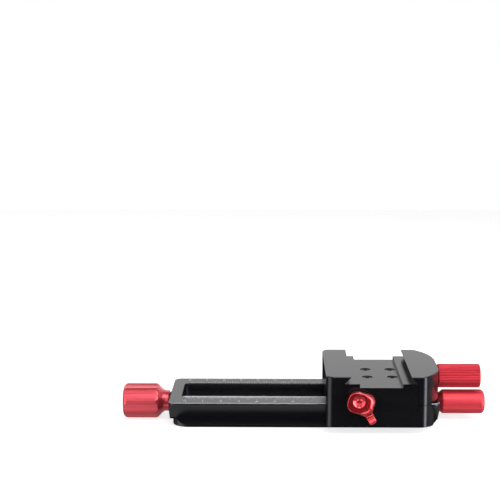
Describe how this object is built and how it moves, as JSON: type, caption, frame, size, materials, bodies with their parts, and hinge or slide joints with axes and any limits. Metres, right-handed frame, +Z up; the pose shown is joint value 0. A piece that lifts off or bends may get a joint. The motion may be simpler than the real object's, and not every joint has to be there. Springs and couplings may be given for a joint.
{
  "type": "macro focusing rail",
  "caption": "Focusing rail: a carriage with a dovetail plate clamp and a brake lever is driven along a slotted dovetail rail by a lead screw with a knob at each end.",
  "frame": {"origin": "centre of the dovetail foot's underside, on the axis of the middle tripod thread", "axes": "+X along the rail towards the slim knob and the plate clamp's knob, +Y across the rail away from the brake lever, +Z up"},
  "size_m": [0.2053, 0.0697, 0.0324],
  "materials": {
    "black_anodised": "satin black anodised",
    "red_anodised": "satin red anodised",
    "brass": "turned",
    "steel": "ground",
    "black_steel": "black oxide",
    "glide_plastic": "matt",
    "washer_plastic": "matt"
  },
  "bodies": {
    "rail": {"rail_body": "black_anodised", "bush_front": "brass", "bush_rear": "brass"},
    "lead_screw": {"lead_screw": "steel", "front_washer": "washer_plastic", "rear_washer": "washer_plastic", "front_knob": "red_anodised", "rear_knob": "red_anodised", "front_knob_screw": "black_steel", "rear_knob_screw": "black_steel"},
    "carriage": {"carriage_body": "black_anodised", "drive_nut": "brass", "nut_screw_1": "black_steel", "nut_screw_2": "black_steel", "nut_screw_3": "black_steel", "nut_screw_4": "black_steel", "top_glide_near": "glide_plastic", "top_glide_far": "glide_plastic", "side_glide_near": "glide_plastic", "side_glide_far": "glide_plastic", "shaft_retainer": "black_steel"},
    "plate_jaw": {"clamp_jaw": "black_anodised", "jaw_pin_near": "steel", "jaw_pin_far": "steel"},
    "clamp_drive": {"clamp_screw": "steel", "clamp_ring": "steel", "clamp_washer": "washer_plastic", "clamp_knob": "red_anodised"},
    "brake_lever": {"lock_shaft": "steel", "lock_lever": "red_anodised", "lever_screw": "black_steel"},
    "brake_shoe": {"brake_shoe": "brass"}
  },
  "joints": [
    {"name": "drive_knobs_turn", "type": "hinge", "parent": "rail", "child": "lead_screw", "pos_m": [0, 0, 0.01], "axis": [1, 0, 0], "range_deg": [0, 30960]},
    {"name": "carriage_slide", "type": "slide", "parent": "rail", "child": "carriage", "axis": [1, 0, 0], "range_m": [-0.086, 0]},
    {"name": "clamp_knob_turn", "type": "hinge", "parent": "plate_jaw", "child": "clamp_drive", "pos_m": [0, 0, 0.025], "axis": [1, 0, 0], "range_deg": [0, 1350]},
    {"name": "jaw_slide", "type": "slide", "parent": "carriage", "child": "plate_jaw", "axis": [1, 0, 0], "range_m": [0, 0.003]},
    {"name": "brake_lever_turn", "type": "hinge", "parent": "carriage", "child": "brake_lever", "pos_m": [0.0297, 0, 0.0198], "axis": [0, 1, 0], "range_deg": [-40, 60]},
    {"name": "brake_shoe_press", "type": "slide", "parent": "carriage", "child": "brake_shoe", "axis": [0, 0, 1], "range_m": [-0.00013, 0.0000866]}
  ],
  "couplings": [
    {"joint": "drive_knobs_turn", "follows": "carriage_slide", "rad_per_m": -6283.2},
    {"joint": "clamp_knob_turn", "follows": "jaw_slide", "rad_per_m": 7854},
    {"joint": "brake_lever_turn", "follows": "brake_shoe_press", "rad_per_m": -8055.4}
  ]
}
